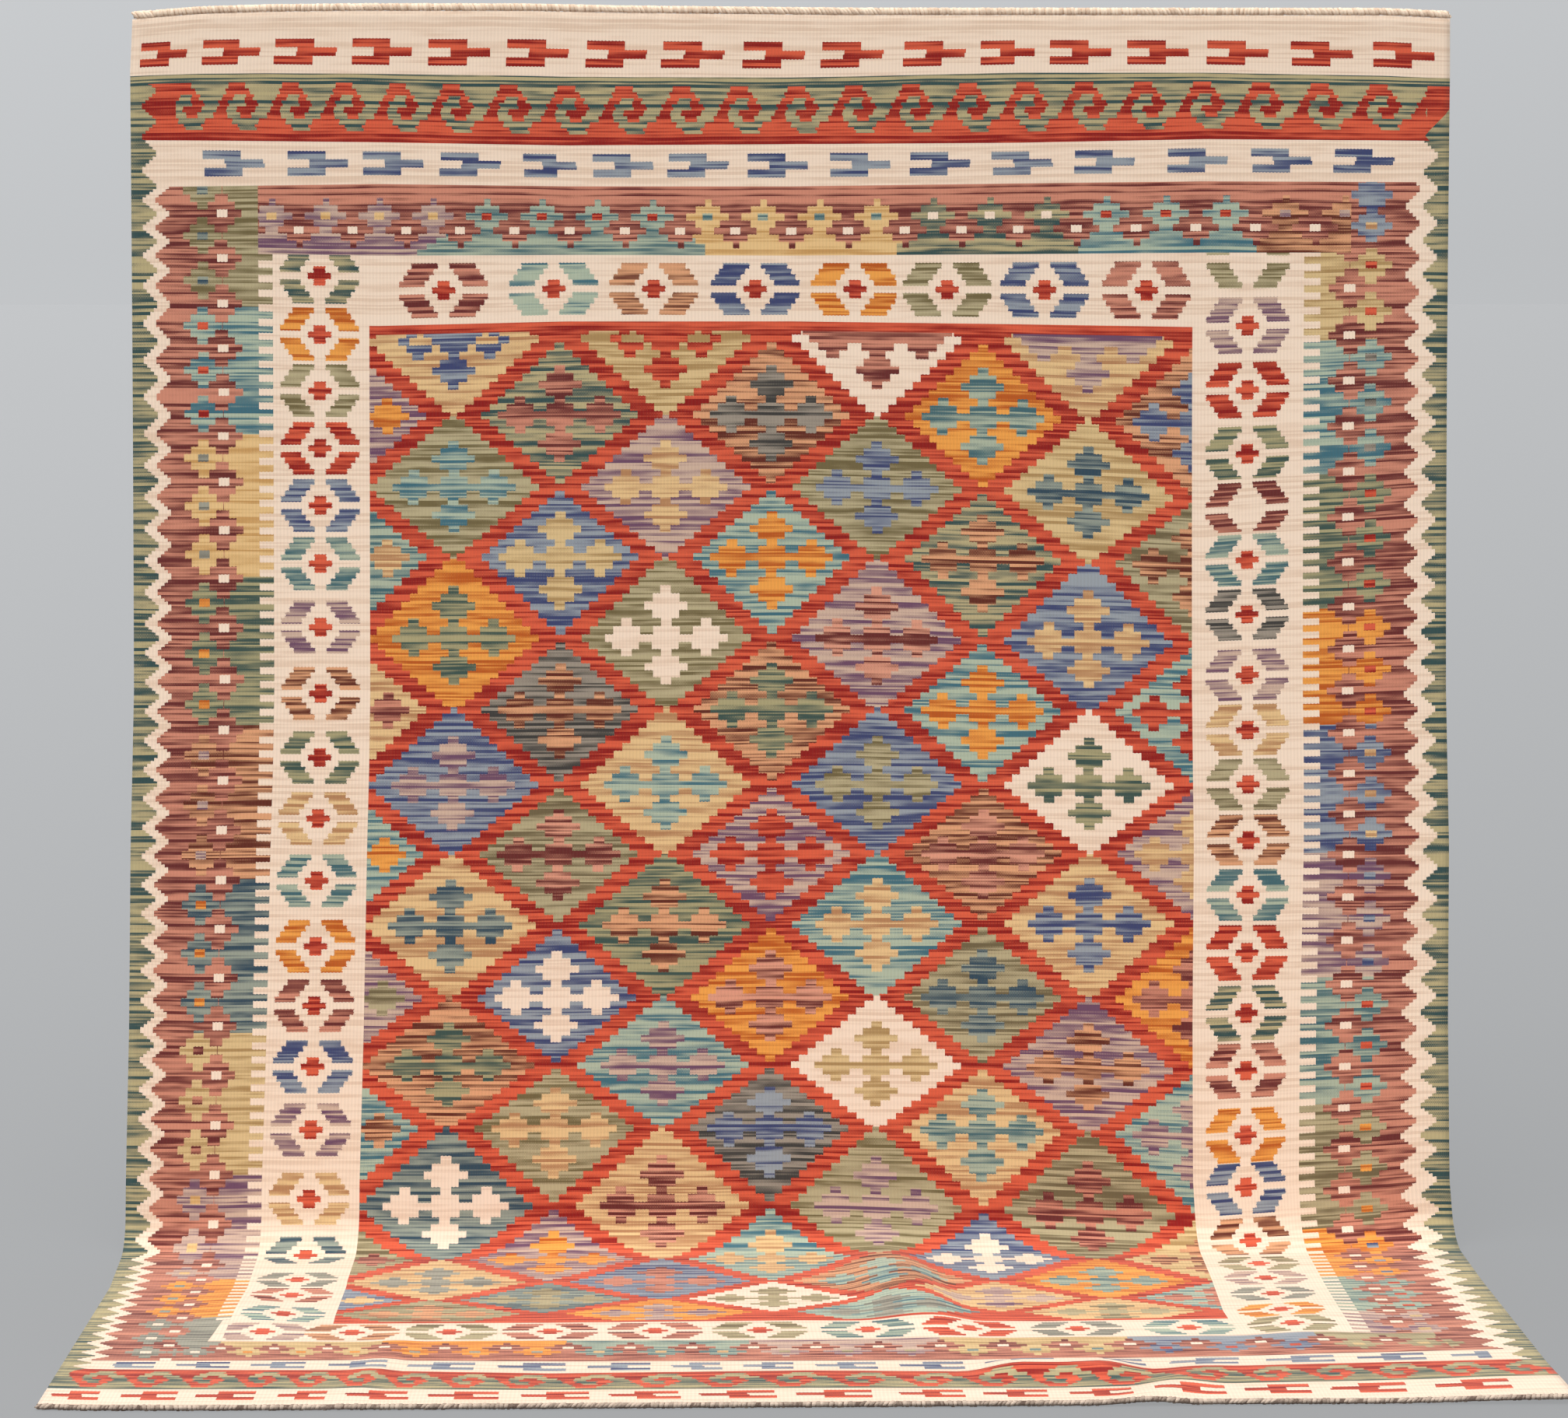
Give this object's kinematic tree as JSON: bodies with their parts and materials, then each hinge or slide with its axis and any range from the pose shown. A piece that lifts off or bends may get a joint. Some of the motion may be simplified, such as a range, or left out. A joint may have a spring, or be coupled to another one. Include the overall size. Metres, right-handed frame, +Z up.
{
  "type": "kilim rug",
  "caption": "Flat-woven rug with diamond lattice field and banded borders, hung by its top edge, its lower part turned forward and lying on the floor.",
  "frame": {"origin": "middle of the hanging edge, at the top of the upper roll of warp ends, on the plane of the cloth's back", "axes": "X across the rug, -Y out of its face and along the floor to its front edge, +Z up"},
  "size_m": [1.799, 0.832, 1.6705],
  "materials": {
    "wool_weave": "matte flat weave",
    "warp_plait": "matte twisted warp ends"
  },
  "bodies": {
    "root": {"kilim_cloth": "wool_weave", "upper_plait": "warp_plait", "lower_plait": "warp_plait"}
  },
  "joints": []
}
